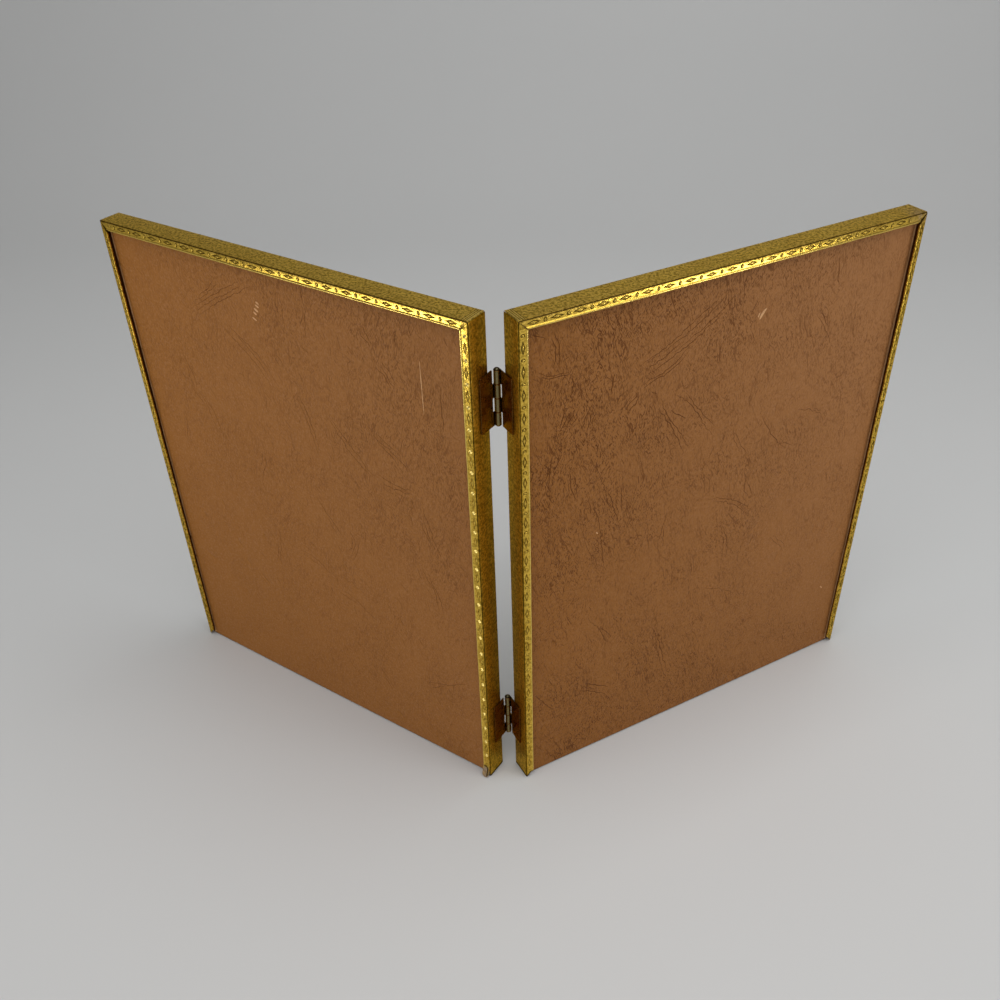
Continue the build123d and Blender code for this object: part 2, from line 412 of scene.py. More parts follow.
def arc(centre, radius, start, end, steps):
    """Points on an arc between two angles in degrees."""
    turns = np.radians(np.linspace(start, end, steps + 1))
    return [(centre[0] + radius * math.cos(turn), centre[1] + radius * math.sin(turn)) for turn in turns]


def shifted(faces, first):
    """Faces whose points are counted from a first point."""
    return [[first + index for index in face] for face in faces]


def between_loops(count, loops, open_at=()):
    """Faces between loops of points that follow each other, left open after some of a loop's points."""
    faces = []
    for loop in range(loops - 1):
        for k in range(count):
            if k not in open_at:
                a = loop * count + k
                b = loop * count + (k + 1) % count
                faces.append((a, b, b + count, a + count))
    return faces


def engraved(outline, paths):
    """Triangles that fill a flat outline and keep its grooves.

    A path is (points, closed), a point is (x, y, height, mark). Returns the points and the triangles."""
    given = [(x, y, 0.0, 0.0) for x, y in outline]
    edges = []
    for points, closed in paths:
        first = len(given)
        given += points
        edges += [(first + k, first + k + 1) for k in range(len(points) - 1)]
        if closed:
            edges.append((first + len(points) - 1, first))
    flat = [Vector(point[:2]) for point in given]
    border = list(range(len(outline)))
    places, _, faces, sources, _, _ = delaunay_2d_cdt(flat, edges, [border], 1, 1e-5)
    made = []
    for place, source in zip(places, sources):
        height, mark = given[source[0]][2:] if source else (0.0, 0.0)
        made.append((place.x, place.y, height, mark))
    return made, faces


# Gilt rails

def bead(width, level, outward):
    """The rolled bead on a lip's free edge, from the edge towards the bend."""
    radius = (BEAD_WIDTH ** 2 / 4 + BEAD_RISE ** 2) / (2 * BEAD_RISE)
    half = math.degrees(math.asin(BEAD_WIDTH / 2 / radius))
    centre = (width - BEAD_WIDTH / 2, BEAD_RISE - radius)
    return [(x, level + outward * y) for x, y in arc(centre, radius, 90 - half, 90 + half, BEAD_STEPS)]


def lip_side(width, face, outward, inset):
    """One side of a lip's sheet from its free edge to the end of the bend, as (inward, depth)."""
    level = face - outward * inset
    bend = arc((BEND_RADIUS, -BEND_RADIUS), BEND_RADIUS - inset, 90, 180, BEND_STEPS)
    return bead(width, level, outward) + [(x, face + outward * y) for x, y in bend]


def rail_section(kind):
    """A rail's closed section as (inward, depth), and the corners at which its plain bands start.

    The kind says how it ends at the back: full lip, torn off after the bend, or open below the ledge.
    A scored rail has a full lip and lap lines on its web."""
    front = lip_side(FRONT_LIP, 0, -1, 0)
    front_inside = lip_side(FRONT_LIP, 0, -1, SHEET)
    back = lip_side(BACK_LIP, RAIL_DEPTH, 1, 0)
    back_inside = lip_side(BACK_LIP, RAIL_DEPTH, 1, SHEET)
    bands = {BEAD_STEPS: "front"}
    if kind == "scored":
        bands[len(front) - 1] = "web"
    if kind == "open":
        back, back_inside = [(0, LEDGE_DEPTH)], [(SHEET, LEDGE_DEPTH)]
    elif kind == "torn":
        back, back_inside = back[BEAD_STEPS + 1:], back_inside[BEAD_STEPS + 1:]
    else:
        bands[len(front) + BEND_STEPS] = "back"
    return np.array(front + back[::-1] + back_inside + front_inside[::-1]), bands


def motif_paths(start, end, centre, phase, scale, slant):
    """Grooves and bosses of the border between two mitre lines, along a band's middle.

    The slant is how far the tops of the ovals lean along the rail. The grooves are darkened as dirt, the
    raised slopes as painted shade, and the ovals' tops and facets and the lozenges' ridges are lightened as
    painted highlights."""
    paths = []
    pitch = ORNAMENT_PITCH * scale
    narrow = GROOVE_HALF_WIDTH * scale
    length, height = LOZENGE_HALF_LENGTH, LOZENGE_HALF_HEIGHT
    edge_distance = length * height / math.hypot(length, height)
    rim = 1 + LOZENGE_RIM * (GROOVE_HALF_WIDTH / edge_distance)
    turns = np.linspace(0, 2 * math.pi, OVAL_STEPS, endpoint=False)
    lozenge = [(length, 0), (0, height), (-length, 0), (0, -height)]

    def oval_loop(half_length, half_height):
        return [(half_length * math.cos(turn), half_height * math.sin(turn)) for turn in turns]

    def lozenge_loop(part):
        return [(x * part, y * part) for x, y in lozenge]

    def place(loop, at, level, mark, closed=True, tilt=0.0):
        points = [(at + x, centre + y, level - tilt * x, mark) for x, y in loop]
        inside = all(start(y) + MOTIF_MARGIN < x < end(y) - MOTIF_MARGIN for x, y, _, _ in points)
        if inside:
            paths.append((points, closed))
        return inside

    def levels(rises, mark):
        return [(1.0, -GROOVE_DEPTH, 1.0)] + [(part, rise, mark) for part, rise in rises]

    for at in np.arange(phase, end(centre) + pitch, pitch):
        if place(oval_loop(OVAL_HALF_LENGTH * scale + narrow, OVAL_HALF_HEIGHT * scale + narrow), at, 0, 0):
            if slant:
                facet = oval_loop(OVAL_HALF_LENGTH * OVAL_FACET[0], OVAL_HALF_HEIGHT * OVAL_FACET[1])
                place([(x + OVAL_FACET_SHEAR * y, y) for x, y in facet], at, 0, -0.9, tilt=slant)
            for part, level, mark in [] if slant else levels(OVAL_RISES, 0.25):
                loop = oval_loop(OVAL_HALF_LENGTH * part * scale, OVAL_HALF_HEIGHT * part * scale)
                place(loop, at, level, mark)
            place([(0.0, 0.0)], at, 0.0 if slant else OVAL_TOP, -1, closed=False)
        middle = at + pitch / 2
        if place(lozenge_loop(rim * scale), middle, 0, 0):
            for part, level, mark in levels(LOZENGE_RISES, 0.3):
                place(lozenge_loop(part * scale), middle, level, mark)
            ridge = LOZENGE_RIDGE_HALF_LENGTH * scale
            place([(ridge, 0), (-ridge, 0)], middle, LOZENGE_RIDGE, -0.5, closed=False)
    return paths


def partway(start, end, inward, share):
    """A place between two end lines."""
    return start(inward) * (1 - share) + end(inward) * share


class Rail:
    """One rail in its own axes: along its length, inwards from its web, backwards from the front."""

    def __init__(self, length, phase, seed, gaps=(MITRE_GAP, MITRE_GAP), slant=0.0, flare=0.0,
                 mark_strength=(1.0, 1.0)):
        self.length = length
        self.phase = phase
        self.slant = slant
        self.flare = flare
        self.mark_strength = mark_strength
        self.start_shift, self.end_shift = [gap / math.sqrt(2) for gap in gaps]
        self.points = []
        self.marks = []
        self.faces = []
        self.plain_from = None
        self.random = np.random.default_rng(seed)

    def mitre_start(self, inward):
        return inward + self.start_shift

    def mitre_end(self, inward):
        return self.length - inward - self.end_shift

    def add(self, points, faces, marks=None):
        """More points with their marks, and faces between them. Returns the first point's number."""
        first = len(self.points)
        self.points += points
        self.marks += marks or [0.0] * len(points)
        self.faces += shifted(faces, first)
        return first

    def sweep(self, kind, start, end, caps=(True, True)):
        """The section between two end lines, with an embossed border on its plain bands."""
        section, bands = rail_section(kind)
        count = len(section)
        length = end(0.0) - start(0.0)
        corner = np.array(CORNER_RINGS) / length
        inner = np.linspace(0, 1, max(2, round(length / RING_STEP)) + 1)[1:-1]
        inner = inner[(inner > 0.02) & (inner < 0.98)]
        shares = np.unique(np.concatenate(([0, 1], corner, 1 - corner, inner)))
        rings = [(partway(start, end, x, share), x, depth) for share in shares for x, depth in section]
        faces = between_loops(count, len(shares), bands)
        for cap, first in zip(caps, (0, len(rings) - count)):
            if cap:
                faces.append(range(first, first + count))
        self.add(rings, faces)
        for k, place in bands.items():
            band = section[k], section[(k + 1) % count], shares, start, end
            if place == "web":
                self.score(*band)
            else:
                self.emboss(place, *band)

    def emboss(self, place, a, b, shares, start, end):
        """A lip's flat band between two corners of the section, with its border of grooves."""
        outward, scale, slant = (-1, FRONT_ORNAMENT_SCALE, 0.0) if place == "front" else (1, 1.0, self.slant)
        near = [(partway(start, end, a[0], share), a[0]) for share in shares]
        far = [(partway(start, end, b[0], share), b[0]) for share in shares]
        paths = motif_paths(start, end, (a[0] + b[0]) / 2, self.phase, scale, slant)
        made, faces = engraved(near + far[::-1], paths)
        marks = []
        for at, _, _, mark in made:
            # The back lip's marks, dirt and painted light alike, are scaled along the rail
            fainter = place == "back" and (mark > 0 or not self.slant)
            marks.append(mark * np.interp(at, (0, self.length), self.mark_strength) if fainter else mark)
        self.add([(at, inward, a[1] + outward * height) for at, inward, height, _ in made], faces, marks)

    def score(self, a, b, shares, start, end):
        """A web with fine lap lines across it near its start, each darkened in its groove with a painted
        highlight along one rim.
        """
        at = [partway(start, end, 0.0, share) for share in shares]
        low, high = a[1] + 0.05, b[1] - 0.05
        paths = []
        for line in LAP_LINES:
            for step, height, mark in ((-1, 0, -0.7), (0, LAP_LINE_DEPTH, 0.9), (1, 0, 0)):
                place = line + step * LAP_LINE_HALF_WIDTH
                paths.append(([(place, depth, height, mark) for depth in (low, high)], False))
        made, faces = engraved([(x, a[1]) for x in at] + [(x, b[1]) for x in at[::-1]], paths)
        self.add([(x, height, depth) for x, depth, height, _ in made], faces, [mark for *_, mark in made])

    def settle(self):
        """Slight unevenness of thin rolled sheet: the lips' free edges wander."""
        points = np.array(self.points)
        shifts = self.random.uniform(0, 2 * math.pi, len(LIP_WAVES))
        wave = sum(share * np.sin(2 * math.pi * points[:, 0] / length + shift)
                   for (share, length), shift in zip(LIP_WAVES, shifts))
        lift = np.clip(points[:, 1] / BACK_LIP, 0, 1) ** 2
        back = points[:, 2] > RAIL_DEPTH / 2
        flare = self.flare * (1 - OUTER_LIP_TAPER * points[:, 0] / self.length)
        sink = LIP_SINK * (1 + wave)
        points[:, 2] += np.where(back, flare - sink, sink) * lift
        points[:, 1] += LIP_WANDER * lift * (wave - 1) * (lift > 0.5)
        return points


def to_frame(kind, points):
    """A rail's own axes as the frame's axes."""
    along, inward, depth = np.array(points).T
    if kind == "hinge_rail":
        return np.stack([inward, depth, along], axis=1)
    if kind == "top_rail":
        return np.stack([along, depth, FRAME_HEIGHT - inward], axis=1)
    if kind == "outer_rail":
        return np.stack([FRAME_WIDTH - inward, depth, FRAME_HEIGHT - along], axis=1)
    return np.stack([FRAME_WIDTH - along, depth, inward], axis=1)


def round_corner(points, foot):
    """Rounds the frame's hinge-side corner at the foot or the top."""
    height = points[:, 2] if foot else FRAME_HEIGHT - points[:, 2]
    reach = np.stack([CORNER_ROUND - points[:, 0], CORNER_ROUND - height], axis=1)
    inside = (reach > 0).all(axis=1)
    pulled = reach[inside] * (reach[inside].max(axis=1) / np.hypot(*reach[inside].T))[:, None]
    points[inside, 0] = CORNER_ROUND - pulled[:, 0]
    height[inside] = CORNER_ROUND - pulled[:, 1]
    points[:, 2] = height if foot else FRAME_HEIGHT - height
    return points


def tongue(rail):
    """The turned-out end of a torn lip: a flat strip with a round tip, bent outwards from its root."""
    width = BACK_LIP - BEND_RADIUS
    radius = width / 2
    tip = arc((-TONGUE_LENGTH + radius, radius), radius, 90, 270, TONGUE_TIP_STEPS)
    outline = [(TONGUE_ROOT, 0.0), (TONGUE_ROOT, width)] + tip
    turn = math.radians(TONGUE_TURN)
    centre = (-TONGUE_LENGTH / 2, radius)

    def shrunk(share):
        u, v = centre
        return [(u + (x - u) * share, v + (y - v) * share) for x, y in outline]

    def bent(x, y, level):
        at = x * math.cos(turn) + level * math.sin(turn)
        depth = -x * math.sin(turn) + level * math.cos(turn)
        return TONGUE_LENGTH + at, BEND_RADIUS + y, RAIL_DEPTH - SHEET + depth

    top = shrunk(TONGUE_EDGE_SHARE)
    loops = ((0.0, top), (TONGUE_EDGE, shrunk(1.0)), (SHEET - TONGUE_EDGE, shrunk(1.0)), (SHEET, top))
    points = [bent(x, y, level) for level, loop in loops for x, y in loop]
    faces = between_loops(len(outline), len(loops)) + [range(len(outline))]
    rail.plain_from = rail.add(points, faces)
    tear = smooth_line(TEAR, TEAR_STEP)
    # The tear is darkened across its groove as the painted shadow of the gap
    paths = []
    for way, height, mark in ((-1, 0, 0.4), (0, -TEAR_DEPTH, 1.0), (1, 0, 0.2)):
        paths.append(([(x, y, height, mark) for x, y in beside(tear, way * TEAR_HALF_WIDTH)], False))
    made, faces = engraved(top, paths)
    rail.add([bent(x, y, SHEET + height) for x, y, height, _ in made], faces, [mark for *_, mark in made])


def near_line(distance, width, level):
    """1 near a line and 0 away from it. The level says how far off the fall starts."""
    return np.clip(level - distance / width, 0, 1)


def ageing(side, kind, rail_points, points):
    """How brown, how worn and how dull each point of a rail is. The brown is tarnish, with painted shade
    laid on along the back bend.
    """
    inward, depth = rail_points[:, 1], rail_points[:, 2]
    on_web = inward < BEND_RADIUS
    # Painted shade along the back bend, laid on as brown
    bend = np.exp(-((inward - 0.25) / 0.3) ** 2) * np.exp(-((depth - RAIL_DEPTH + 0.25) / 0.35) ** 2)
    redder = HINGE_WEB_REDDER * (0.5 - depth / RAIL_DEPTH) if kind == "hinge_rail" else 0.0
    brown = np.where(on_web, WEB_BROWN.get(kind, 0.0) + redder, LIP_BROWN.get(kind, 0.0))
    dull = np.where(on_web, 1.0, LIP_DULL.get(kind, 0.0))
    corner = np.array((FRAME_WIDTH - WORN_CORNER_INSET, RAIL_DEPTH, FRAME_HEIGHT))
    reach = np.linalg.norm((points - corner) / WORN_CORNER_REACH, axis=1)
    worn = near_line(reach, 1.0, 1.2) * np.where(on_web, 0.8, 0.25) * (side == "right")
    if kind == "top_rail":
        worn = np.maximum(worn, np.where(on_web, TOP_WEB_WORN, 0.0))
    if kind == "hinge_rail" and side == "left":
        on_back_lip = (inward > BEND_RADIUS + 0.01) & (depth > RAIL_DEPTH - SHEET)
        worn = np.where(on_back_lip & (points[:, 2] < TONGUE_LENGTH - 1.6), 1.0, worn)
    return {"patina_and_shade": np.clip(brown + 0.8 * bend, 0, 1), "worn": worn, "dull": dull}


def painted_light_and_grime_lines(kind, rail, rail_points):
    """Painted light and dirt: painted shade along a rail's bends, painted shadow with dirt at the hinge
    rails' feet, dirt in its mitres, and painted light on its bead's crest.
    """
    at, inward, depth = rail_points.T
    middle = BEND_RADIUS * (1 - math.sqrt(0.5))
    across = np.abs(inward - middle)
    back = np.hypot(across, depth - RAIL_DEPTH + middle)
    front = np.hypot(across, depth - middle)
    on_hinge = kind == "hinge_rail"
    # Dark lines along the bends are painted shade; the line at the hinge rails' foot is painted shadow with
    # dirt
    back_line = (HINGE_BACK_LINE if on_hinge else 1.0) * near_line(back, BEND_LINE_WIDTH, 1.15)
    front_width = HINGE_FRONT_LINE_WIDTH if on_hinge else BEND_LINE_WIDTH
    dark = back_line + FRONT_LINE * near_line(front, front_width, 1.15)
    to_mitre = np.minimum(at - rail.mitre_start(inward), rail.mitre_end(inward) - at)
    on_lip = inward > BEND_RADIUS
    dark = np.maximum(dark, np.where(on_lip, MITRE_DIRT * near_line(to_mitre, MITRE_LINE_WIDTH, 1.3), 0))
    if on_hinge:
        dark = np.maximum(dark, np.where(on_lip, 0, near_line(at, FOOT_LINE_WIDTH, 1.7)))
    crest = np.hypot(inward - BACK_LIP + BEAD_WIDTH / 2, depth - RAIL_DEPTH - BEAD_RISE)
    lines = dark - BEAD_PAINTED_LIGHT[kind] * near_line(crest, CREST_WIDTH, 1.2)
    if rail.plain_from is not None:
        lines[rail.plain_from:] = 0
    return lines


def sweep_torn(rail):
    """The left frame's hinge rail, whose back lip is torn off at the foot."""

    def root(inward):
        return TONGUE_LENGTH

    rail.sweep("torn", rail.mitre_start, root, caps=(True, False))
    rail.sweep("full", root, rail.mitre_end, caps=(False, True))
    section, _ = rail_section("full")
    floor = RAIL_DEPTH - SHEET - 0.001
    lip = [(x, depth) for x, depth in section if depth > floor and x > BEND_RADIUS - 0.01]
    rail.add([(TONGUE_LENGTH, x, depth) for x, depth in lip], [range(len(lip))])
    tongue(rail)


def make_rails(side, look):
    """The four rails of a frame."""
    open_gap = OPEN_MITRE_GAP if side == "right" else MITRE_GAP
    phase = ORNAMENT_START[side]
    seed = 11 if side == "left" else 41
    slant = OVAL_SLANT if side == "left" else 0.0
    gaps = (open_gap, MITRE_GAP)
    rails = {
        "hinge_rail": Rail(FRAME_HEIGHT, HINGE_ORNAMENT_START, seed, slant=slant, mark_strength=HINGE_LIP_MARKS[side]),
        "top_rail": Rail(FRAME_WIDTH, phase, seed + 1, gaps[::-1]),
        "outer_rail": Rail(FRAME_HEIGHT, OUTER_ORNAMENT_START, seed + 2, gaps, flare=OUTER_LIP_FLARE),
        "bottom_rail": Rail(FRAME_WIDTH, phase, seed + 3),
    }
    for kind, rail in rails.items():
        if kind == "hinge_rail" and side == "left":
            sweep_torn(rail)
        else:
            section_kind = {"bottom_rail": "open", "top_rail": "scored"}.get(kind, "full")
            rail.sweep(section_kind, rail.mitre_start, rail.mitre_end)
        rail_points = rail.settle()
        points = to_frame(kind, rail_points)
        points = round_corner(round_corner(points, True), False)
        marks = np.array(rail.marks) + painted_light_and_grime_lines(kind, rail, rail_points)
        age = ageing(side, kind, rail_points, points)
        piece = add_piece(f"{side}_{kind}_gilt", side, points, rail.faces, look, mark=marks, **age)
        stand_for(piece, f"{side}_{kind}", f"{side}_frame")


# Leatherette covers

def photo_point(side, pixel):
    """Where a pixel of the photograph falls on a cover, as (outwards, upwards) in the frame's axes."""
    focal = CAMERA_LENS / CAMERA_SENSOR * PHOTO_SIZE
    across = (pixel[0] - PHOTO_SIZE / 2) / focal
    upward = (PHOTO_SIZE * (0.5 + CAMERA_SHIFT) - pixel[1]) / focal
    camera = camera_matrix()
    inverse = frame_matrix(side).inverted()
    eye = inverse @ camera.translation / MM
    away = inverse.to_3x3() @ camera.to_3x3() @ Vector((across, upward, -1))
    met = eye + away * ((cover_high[1] - eye.y) / away.y)
    return abs(met.x), met.z


def smooth_line(points, step):
    """A line through rounded corners, with points about a step apart."""
    line = np.array(points, float)
    for _ in range(3):
        near = line[:-1] * 0.75 + line[1:] * 0.25
        far = line[:-1] * 0.25 + line[1:] * 0.75
        line = np.concatenate([line[:1], np.stack([near, far], axis=1).reshape(-1, 2), line[-1:]])
    lengths = np.concatenate([[0], np.cumsum(np.linalg.norm(np.diff(line, axis=0), axis=1))])
    places = np.linspace(0, lengths[-1], max(3, round(lengths[-1] / step) + 1))
    return np.stack([np.interp(places, lengths, line[:, k]) for k in (0, 1)], axis=1)


def beside(line, distance):
    """A line moved sideways."""
    way = np.gradient(line, axis=0)
    way /= np.linalg.norm(way, axis=1)[:, None]
    return line + np.stack([-way[:, 1], way[:, 0]], axis=1) * np.reshape(distance, (-1, 1))


class Creases:
    """Grooves and scuffs of a cover, kept clear of each other."""

    def __init__(self, low, high):
        self.low = np.array(low) + CREASE_MARGIN
        self.high = np.array(high) - CREASE_MARGIN
        self.taken = np.zeros((0, 2))
        self.paths = []

    def clear_run(self, line):
        """The longest stretch of a line that stays on the cover and clear of earlier lines."""
        free = ((line > self.low) & (line < self.high)).all(axis=1)
        if len(self.taken):
            gaps = np.linalg.norm(line[:, None] - self.taken[None], axis=2).min(axis=1)
            free &= gaps > CREASE_CLEARANCE
        stops = np.flatnonzero(np.diff(free)) + 1
        runs = [run for run, clear in zip(np.split(line, stops), np.split(free, stops)) if clear[0]]
        return max(runs, key=len, default=line[:0])

    def draw(self, line, half_width, depth, mark):
        """One groove that narrows to its ends."""
        line = self.clear_run(line)
        if len(line) < 3:
            return
        taper = np.sin(np.linspace(0, math.pi, len(line))) ** 0.4
        centre = [(x, y, -depth * share, mark * share) for (x, y), share in zip(line, taper)]
        self.paths.append((centre, False))
        for way in (-1, 1):
            edge = beside(line, way * half_width * np.maximum(taper, 0.25))[1:-1]
            rim = [line[0], *edge, line[-1]]
            self.paths.append(([(x, y, 0.0, 0.0) for x, y in rim], False))
        self.taken = np.concatenate([self.taken, smooth_line(line, CREASE_CLEARANCE / 2)])


def draw_bundle(creases, random, base, count, spacing):
    """Creases that run side by side, ragged and of uneven length."""
    for k in range(count):
        line = smooth_line(base, CREASE_STEP)
        sway = np.sin(np.linspace(0, random.uniform(3, 9), len(line)) + random.uniform(0, 6)) * CREASE_SWAY
        ragged = random.normal(0, CREASE_RAGGED, len(line))
        line = beside(line, (k - (count - 1) / 2) * spacing + sway + ragged)
        first, last = random.integers(0, 1 + len(line) // 5, 2)
        half_width = CREASE_HALF_WIDTH * random.uniform(0.7, 1.15)
        creases.draw(line[first:len(line) - last], half_width, CREASE_DEPTH, -1.0)


def draw_wrinkle(creases, random, side, low, high):
    """A short wrinkle somewhere, more often near the hinges and the top."""
    place = random.uniform(low, high)
    slant = math.radians(random.normal(WRINKLE_SLANT[side], WRINKLE_SPREAD))
    length = random.uniform(*WRINKLE_LENGTHS)
    bow = random.normal(0, WRINKLE_BOW) * length
    chance = random.uniform()
    share = (place - low) / np.subtract(high, low)
    if chance > 0.95 - 0.55 * share[0] + 0.25 * (share[1] - 0.5):
        return
    way = np.array((math.sin(slant), math.cos(slant)))
    middle = place + np.array((way[1], -way[0])) * bow
    line = smooth_line([place - way * length / 2, middle, place + way * length / 2], WRINKLE_STEP)
    half_width = CREASE_HALF_WIDTH * random.uniform(0.5, 0.9)
    creases.draw(line, half_width, CREASE_DEPTH * WRINKLE_DEPTH, -random.uniform(0.4, 0.9))


def cover_creases(side, low, high):
    """The creases and scuffs that the photograph shows, and short wrinkles between them."""
    random = np.random.default_rng(5 if side == "left" else 9)
    creases = Creases(low, high)
    for pixels, half_width in SCUFFS[side]:
        line = smooth_line([photo_point(side, pixel) for pixel in pixels], SCUFF_STEP)
        creases.draw(line, half_width, SCUFF_DEPTH, 1.0)
    for pixels, count, spacing in CREASE_BUNDLES[side]:
        draw_bundle(creases, random, [photo_point(side, pixel) for pixel in pixels], count, spacing)
    for _ in range(WRINKLE_TRIES):
        draw_wrinkle(creases, random, side, low, high)
    return creases


def cover_border(low, high, inset):
    """Points round a cover's outline, close enough to follow its sag."""
    left, foot = low[0] + inset, low[1] + inset
    right, head = high[0] - inset, high[1] - inset
    across = np.linspace(left, right, round((right - left) / COVER_GRID) + 1)
    upward = np.linspace(foot, head, round((head - foot) / COVER_GRID) + 1)
    loop = [(x, foot) for x in across] + [(right, y) for y in upward[1:]]
    return loop + [(x, head) for x in across[-2::-1]] + [(left, y) for y in upward[-2:0:-1]]


def cover_sag(x, y):
    """How far a cover's sheet lies below its highest level."""
    wave = math.sin(x / 31.0 + 0.4) * math.cos(y / 43.0) + 0.5 * math.sin(x / 17.0 + y / 23.0)
    return COVER_SAG * (0.5 + wave / 3.2)


def cover_edge(height):
    """Where a cover's worn outer edge shows beside the outer lip; it runs under the lip towards the foot."""
    return FRAME_WIDTH - BACK_LIP - COVER_EDGE_SHOWS + COVER_EDGE_SLANT * (1 - height / FRAME_HEIGHT)


def cover_paths(side, low, high):
    """The lines in a cover's face: its creases, a grid that follows its sag, and its worn outer edge."""
    creases = cover_creases(side, low, high)
    paths = list(creases.paths)
    for x in np.arange(low[0] + COVER_GRID, high[0] - COVER_GRID / 2, COVER_GRID):
        for y in np.arange(low[1] + COVER_GRID, high[1] - COVER_GRID / 2, COVER_GRID):
            if np.linalg.norm(creases.taken - (x, y), axis=1).min() > CREASE_CLEARANCE:
                paths.append(([(x, y, 0.0, 0.0)], False))
    ups = np.linspace(low[1] + 1.0, high[1] - 1.0, 80)
    for reach, wear in ((0.0, 0.0), (0.2, EDGE_WEAR[side]), (COVER_EDGE_WIDTH, EDGE_WEAR[side]), (1.0, 0.0)):
        edges = cover_edge(ups) + reach
        shares = 0.55 + 0.45 * np.sin(ups / 9.0 + reach) * np.sin(ups / 23.0 + 1.0)
        paths.append(([(x, y, 0.0, wear * share) for x, y, share in zip(edges, ups, shares)], False))
    return paths


def cover_age(side, points, low, high):
    """How creased and shaded, how pale with painted sheen and how deep in the painted shade under the outer
    lip each point of a cover is.
    """
    shares = (points[:, (0, 2)] - low) / (high - low)
    creased_and_shaded = CREASED[side] * (0.3 + 0.5 * (1 - shares[:, 0]) + 0.3 * shares[:, 1])
    creased_and_shaded += CREASED_AND_SHADED_FOOT[side] * np.clip(1 - shares[:, 1] / 0.3, 0, 1)
    outwards = np.sqrt(np.clip(shares[:, 0], 0, 1)) if side == "right" else 1 - shares[:, 0]
    # Painted sheen, paler towards the object's right and towards the top
    painted_sheen = PAINTED_SHEEN[side] * outwards * (0.35 + 0.65 * shares[:, 1])
    # Past the worn edge, under the outer lip, the cover is darkened as painted shade
    past_edge = points[:, 0] - cover_edge(points[:, 2]) - COVER_EDGE_WIDTH
    return {"creased_and_shaded": creased_and_shaded, "painted_sheen": painted_sheen, "shade_under_lip": np.clip(past_edge / 0.1, 0, 1)}


def make_cover(side, look):
    """The leatherette on a back: a thin sheet with turned edges, slight sag and creases."""
    low = np.array((cover_low[0], cover_low[2]))
    high = np.array((cover_high[0], cover_high[2]))
    front, back = cover_low[1], cover_high[1]
    made, faces = engraved(cover_border(low, high, COVER_EDGE_ROUND), cover_paths(side, low, high))
    points = [(x, back - cover_sag(x, y) + depth, y) for x, y, depth, _ in made]
    first = len(points)
    loops = ((1.0, 0.0), (0.3, 0.3), (0.0, 1.0), (0.0, None))
    for inset, drop in loops:
        border = cover_border(low, high, COVER_EDGE_ROUND * inset)
        for x, y in border:
            top = back - cover_sag(x, y)
            points.append((x, front if drop is None else top - COVER_EDGE_ROUND * drop, y))
    faces = list(faces) + shifted(between_loops(len(border), len(loops)), first)
    faces.append(range(len(points) - len(border), len(points)))
    marks = [mark for *_, mark in made] + [0.0] * (len(points) - first)
    age = cover_age(side, np.array(points), low, high)
    name = f"{side}_back_cover_leatherette"
    piece = add_piece(name, side, points, faces, look, crisp=18.0, mark=marks, **age)
    stand_for(piece, f"{side}_back_cover", f"{side}_back")


# Hinges

def leaf_plate(side, spans):
    """A leaf's flat plate as (ahead, up): tabs to its own knuckles in front, round corners at the back."""
    slot = KNUCKLE_RADIUS + SLOT_GAP
    outline = [] if side == "left" else [(slot, 0.0)]
    for foot, head in spans:
        outline += [(slot, foot), (0.0, foot), (0.0, head), (slot, head)]
    if side == "left":
        outline.append((slot, HINGE_LENGTH))
    radius = LEAF_CORNER_RADIUS
    outline += arc((LEAF_WIDTH - radius, HINGE_LENGTH - radius), radius, 90, 0, LEAF_CORNER_STEPS)
    outline += arc((LEAF_WIDTH - radius, radius), radius, 0, -90, LEAF_CORNER_STEPS)
    low, high = LEAF_RIM, HINGE_LENGTH - LEAF_RIM
    near, far = slot + LEAF_RIM, LEAF_WIDTH - LEAF_RIM
    middle = [(y, z, 0.0, 1.0) for y, z in ((near, low), (far, low), (far, high), (near, high))]
    return outline, middle


def make_leaf(side, place, look):
    """A hinge leaf: a slotted plate with painted shade on its rims, rolled into every second knuckle."""
    pitch = HINGE_LENGTH / KNUCKLES
    own = range(0 if side == "left" else 1, KNUCKLES, 2)
    spans = [(k * pitch + KNUCKLE_GAP / 2, (k + 1) * pitch - KNUCKLE_GAP / 2) for k in own]
    outline, middle = leaf_plate(side, spans)
    inner, outer = BORE_RADIUS, KNUCKLE_RADIUS
    count = len(outline)
    at_barrel = [k for k in range(count) if outline[k][0] == 0 == outline[(k + 1) % count][0]]
    points = [(x, y, z) for x in (inner, outer) for y, z in outline]
    faces = [range(count, 2 * count)] + between_loops(count, 2, at_barrel)
    plate, triangles = engraved(outline, [(middle, True)])
    faces += shifted(triangles, len(points))
    points += [(inner, y, z) for y, z, _, _ in plate]
    rubbed = [LEAF_RIM_SHADE] * 2 * count + [LEAF_TONE if mark else LEAF_RIM_SHADE for *_, mark in plate]
    for foot, head in spans:
        ring = [(inner, foot), (inner, head), (outer, head), (outer, head - GRIME_WIDTH)]
        ring += [(outer, foot + GRIME_WIDTH), (outer, foot)]
        faces += shifted(between_loops(len(ring), KNUCKLE_STEPS + 1), len(points))
        for turn in np.radians(np.linspace(0, -KNUCKLE_WRAP, KNUCKLE_STEPS + 1)):
            points += [(reach * math.cos(turn), reach * math.sin(turn), z) for reach, z in ring]
            rubbed += [1.0 if reach == outer and foot < z < head else 0.0 for reach, z in ring]
        faces.append(range(len(points) - len(ring), len(points)))
    points = np.array(points) + (-KNUCKLE_RADIUS, -AXIS_AHEAD, HINGE_FEET[place])
    piece = add_piece(f"{side}_{place}_hinge_leaf_bronze", side, points, faces, look, rubbed=rubbed)
    soften(piece, LEAF_BEVEL)
    stand_for(piece, f"{side}_{place}_hinge_leaf", f"{side}_frame")


